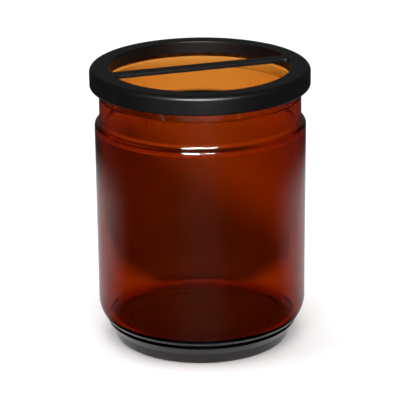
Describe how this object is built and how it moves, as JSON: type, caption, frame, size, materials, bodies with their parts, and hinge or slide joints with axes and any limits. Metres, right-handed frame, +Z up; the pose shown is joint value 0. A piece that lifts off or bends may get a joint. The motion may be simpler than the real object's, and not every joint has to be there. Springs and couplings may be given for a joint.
{
  "type": "candle jar with divided lid",
  "caption": "Straight-sided amber glass jar with a recessed neck and a push-in black lid ring whose round window is split by one straight divider bar.",
  "frame": {"origin": "centre of the jar's base, on the plane that it stands on", "axes": "+Z up along the jar's axis, +X along the lid's divider bar"},
  "size_m": [0.084, 0.084, 0.1082],
  "materials": {
    "amber_glass": "polished",
    "grip_rubber": "matte",
    "black_lid": "satin"
  },
  "bodies": {
    "jar": {"glass_jar": "amber_glass"},
    "grip": {"grip_ring": "grip_rubber"},
    "lid": {"divided_lid": "black_lid"}
  },
  "joints": [
    {"name": "lid_lift", "type": "slide", "parent": "jar", "child": "grip", "axis": [0, 0, 1], "range_m": [0, 0.03]},
    {"name": "lid_turn", "type": "hinge", "parent": "grip", "child": "lid", "pos_m": [0, 0, 0.1055], "axis": [0, 0, 1], "continuous": true}
  ]
}
